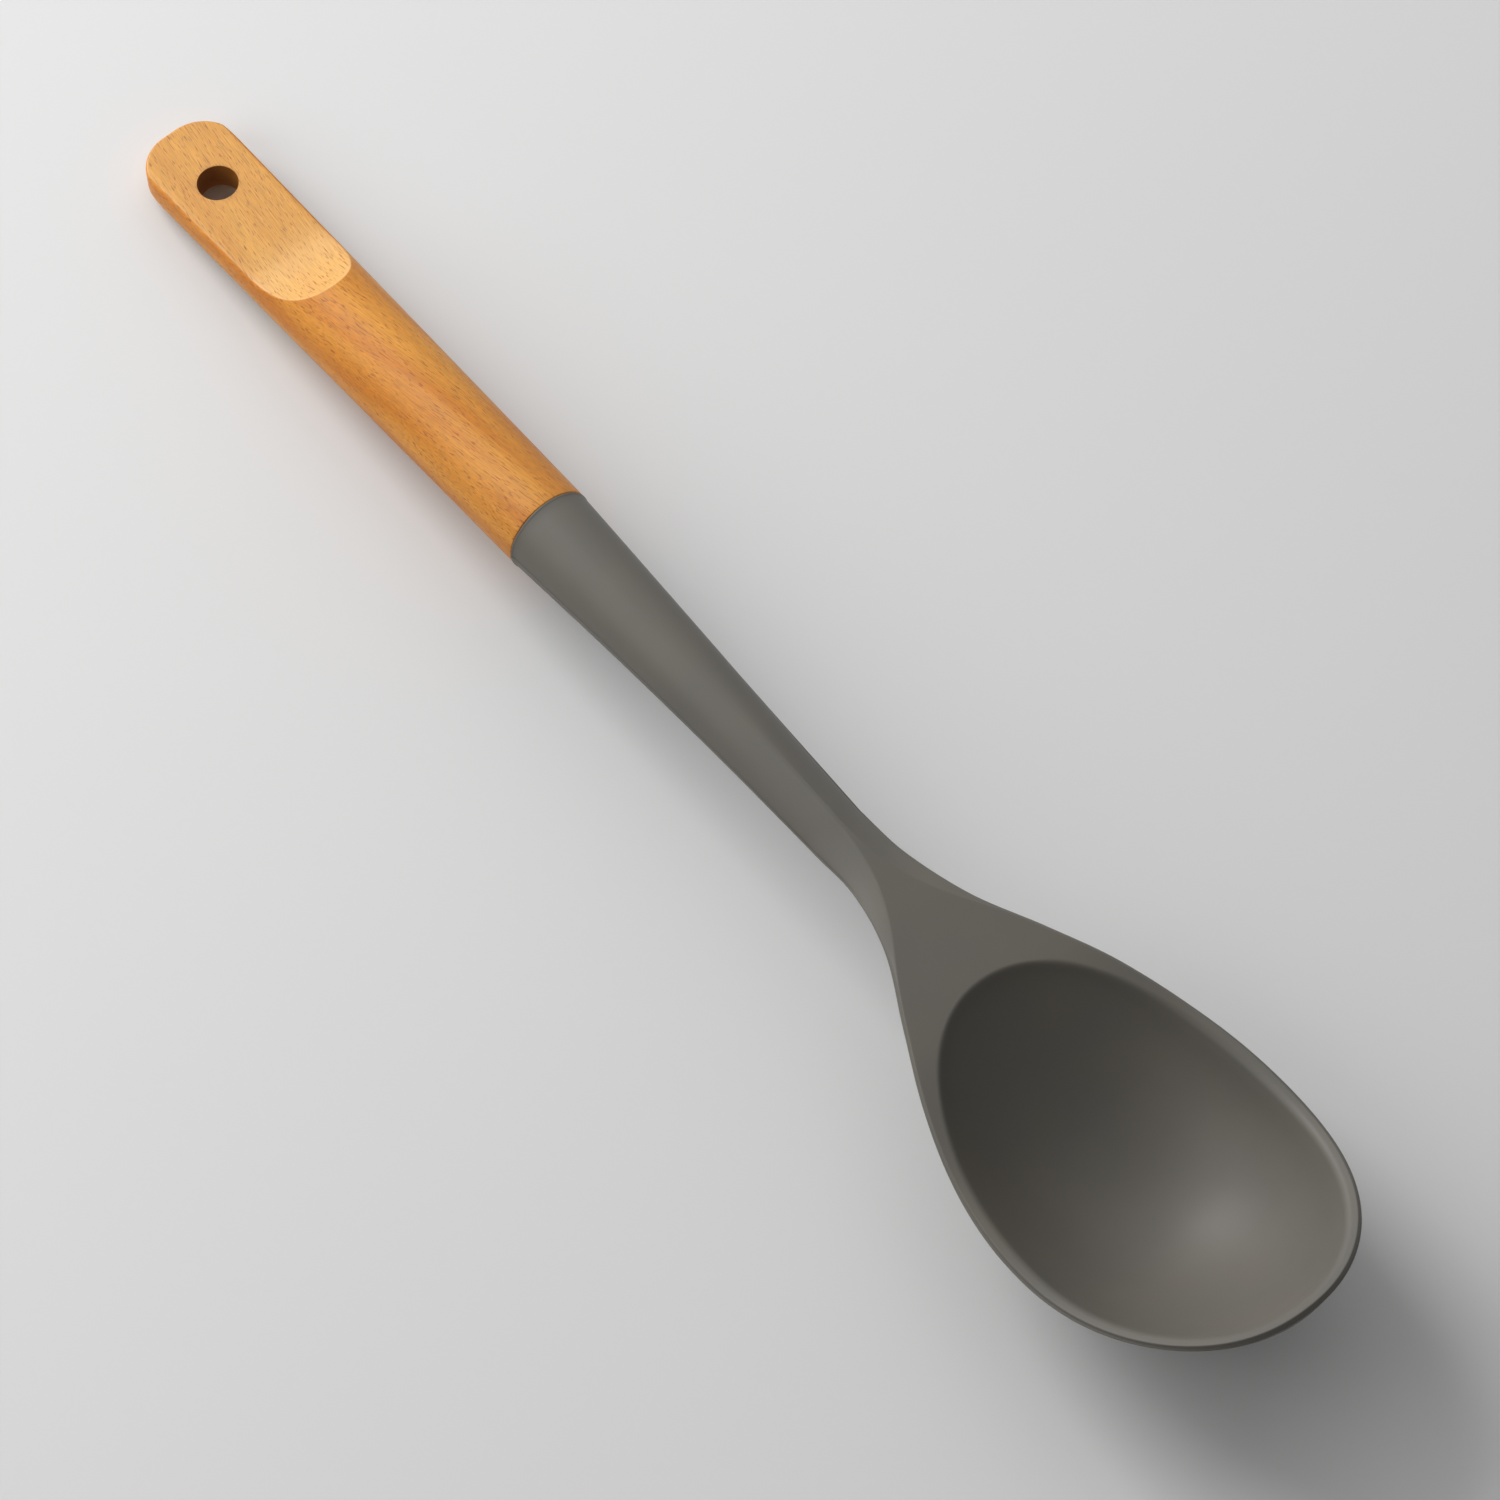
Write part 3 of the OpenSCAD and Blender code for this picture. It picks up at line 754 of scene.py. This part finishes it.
def siliconeMaterial():
    material, tree, bsdf = newMaterial("mouldedSilicone", Roughness=silicone["roughness"], IOR=1.41)
    objectCoords = addNode(tree, "TexCoord", {}, output=3)
    cloud = addNode(tree, "TexNoise", {"Scale": silicone["cloudScale"], "Detail": 3}, {"Vector": objectCoords})
    cloud = addNode(tree, "MapRange", {"From Min": 0.3, "From Max": 0.7}, {"Value": cloud})
    colour = addNode(
        tree, "Mix", {"data_type": "RGBA", 6: linear(silicone["grey"]), 7: linear(silicone["warm"])},
        {0: cloud}, output=2,
    )
    tree.links.new(bsdf.inputs["Base Color"], colour)
    grain = addNode(tree, "TexNoise", {"Scale": silicone["grainScale"], "Detail": 2}, {"Vector": objectCoords})
    low, high = silicone["roughness"] - 0.03, silicone["roughness"] + 0.04
    tree.links.new(
        bsdf.inputs["Roughness"], addNode(tree, "MapRange", {"To Min": low, "To Max": high}, {"Value": grain})
    )
    bump = addNode(tree, "Bump", {"Strength": 0.35, "Distance": 0.00002}, {"Height": grain})
    tree.links.new(bsdf.inputs["Normal"], bump)
    return material


# Nylon with glass fibre: moulded, dark and dull, with short pale fibres in its skin
nylon = {"black": "#2b2a28", "fibre": "#4a4845", "roughness": 0.55, "fibreScale": (400, 2600, 2600)}


def nylonMaterial():
    material, tree, bsdf = newMaterial("glassFilledNylon", Roughness=nylon["roughness"], IOR=1.53)
    objectCoords = addNode(tree, "TexCoord", {}, output=3)
    stretched = addNode(tree, "Mapping", {"Scale": nylon["fibreScale"]}, {"Vector": objectCoords})
    fibres = addNode(tree, "TexNoise", {"Scale": 1, "Detail": 2}, {"Vector": stretched})
    shown = addNode(tree, "MapRange", {"From Min": 0.55, "From Max": 0.75}, {"Value": fibres})
    colour = addNode(
        tree, "Mix", {"data_type": "RGBA", 6: linear(nylon["black"]), 7: linear(nylon["fibre"])},
        {0: shown}, output=2,
    )
    tree.links.new(bsdf.inputs["Base Color"], colour)
    bump = addNode(tree, "Bump", {"Strength": 0.3, "Distance": 0.00003}, {"Height": fibres})
    tree.links.new(bsdf.inputs["Normal"], bump)
    return material


handlePiece = makeHandle()
headPiece = makeHead()
handlePiece.data.materials.clear()
handlePiece.data.materials.append(beechMaterial())
headPiece.data.materials.clear()
headPiece.data.materials.append(siliconeMaterial())
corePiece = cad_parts["core"]
for materialSlot in corePiece.material_slots:
    materialSlot.material = nylonMaterial()
print("materials made")

# Camera, fitted to the photograph
view = {
    "azimuth": -40.7506,
    "elevation": 62.7214,
    "distance": 1.70022,
    "target": (0.0039997, 0.0055471, 0),
    "roll": 1.8614,
    "lens": 217.76,
}


def makeCamera():
    azimuth, elevation, roll = (radians(view[k]) for k in ("azimuth", "elevation", "roll"))
    back = Vector((cos(elevation) * cos(azimuth), cos(elevation) * sin(azimuth), sin(elevation)))
    right = Vector((0, 0, 1)).cross(back).normalized()
    up = back.cross(right)
    turned = Matrix((right * cos(roll) + up * sin(roll), up * cos(roll) - right * sin(roll), back)).transposed()
    data = bpy.data.cameras.new("photoCamera")
    data.lens, data.sensor_width = view["lens"], 36
    camera = bpy.data.objects.new("photoCamera", data)
    camera.matrix_world = Matrix.Translation(Vector(view["target"]) + back * view["distance"]) @ turned.to_4x4()
    bpy.context.scene.collection.objects.link(camera)
    bpy.context.scene.camera = camera


makeCamera()

# Table top, world and lamps; a lamp is its direction, height angle, distance, size and watts
studio = {
    "floor": "#d9d9d9",
    "world": "#ffffff",
    "worldStrength": 0.19,
    "seenStrength": 0.55,
    "lowSoftbox": (190, 22, 1, 0.6, 1.9),
    "highSoftbox": (140, 44, 1, 1.2, 3.7),
    "farSoftbox": (190, 35, 1.8, 1, 21.5),
    "sideSoftbox": (242, 34, 0.8, 0.5, 1.8),
}


def makeStudio():
    bm = bmesh.new()
    bmesh.ops.create_grid(bm, x_segments=1, y_segments=1, size=3)
    mesh = bpy.data.meshes.new("tableTop")
    bm.to_mesh(mesh)
    bm.free()
    floor = bpy.data.objects.new("tableTop", mesh)
    bpy.context.scene.collection.objects.link(floor)
    material, _, bsdf = newMaterial("paintedBoard", Roughness=0.8)
    bsdf.inputs["Base Color"].default_value = linear(studio["floor"])
    mesh.materials.append(material)
    world = bpy.data.worlds.new("studio")
    bpy.context.scene.world = world
    world.use_nodes = True
    background = world.node_tree.nodes["Background"]
    background.inputs["Color"].default_value = linear(studio["world"])
    # the world lights softly, but is seen, mirrored and seen through as a pale wall
    seen = addNode(world.node_tree, "LightPath", {})
    paths = seen.node
    for kind in ("Is Glossy Ray", "Is Transmission Ray"):
        seen = addNode(world.node_tree, "Math", {"operation": "MAXIMUM"}, {0: seen, 1: paths.outputs[kind]})
    strength = addNode(
        world.node_tree, "MapRange", {"To Min": studio["worldStrength"], "To Max": studio["seenStrength"]},
        {"Value": seen},
    )
    world.node_tree.links.new(background.inputs["Strength"], strength)
    for name in ("lowSoftbox", "highSoftbox", "farSoftbox", "sideSoftbox"):
        azimuth, elevation, distance, size, watts = studio[name]
        lamp = bpy.data.lights.new(name, "AREA")
        lamp.shape, lamp.size, lamp.energy = "SQUARE", size, watts
        a, e = radians(azimuth), radians(elevation)
        place = Vector((cos(a) * cos(e), sin(a) * cos(e), sin(e))) * distance
        box = bpy.data.objects.new(name, lamp)
        box.matrix_world = Matrix.Translation(place) @ place.to_track_quat("Z", "Y").to_matrix().to_4x4()
        bpy.context.scene.collection.objects.link(box)
    bpy.context.scene.view_settings.view_transform = "Standard"


makeStudio()
print("scene made")
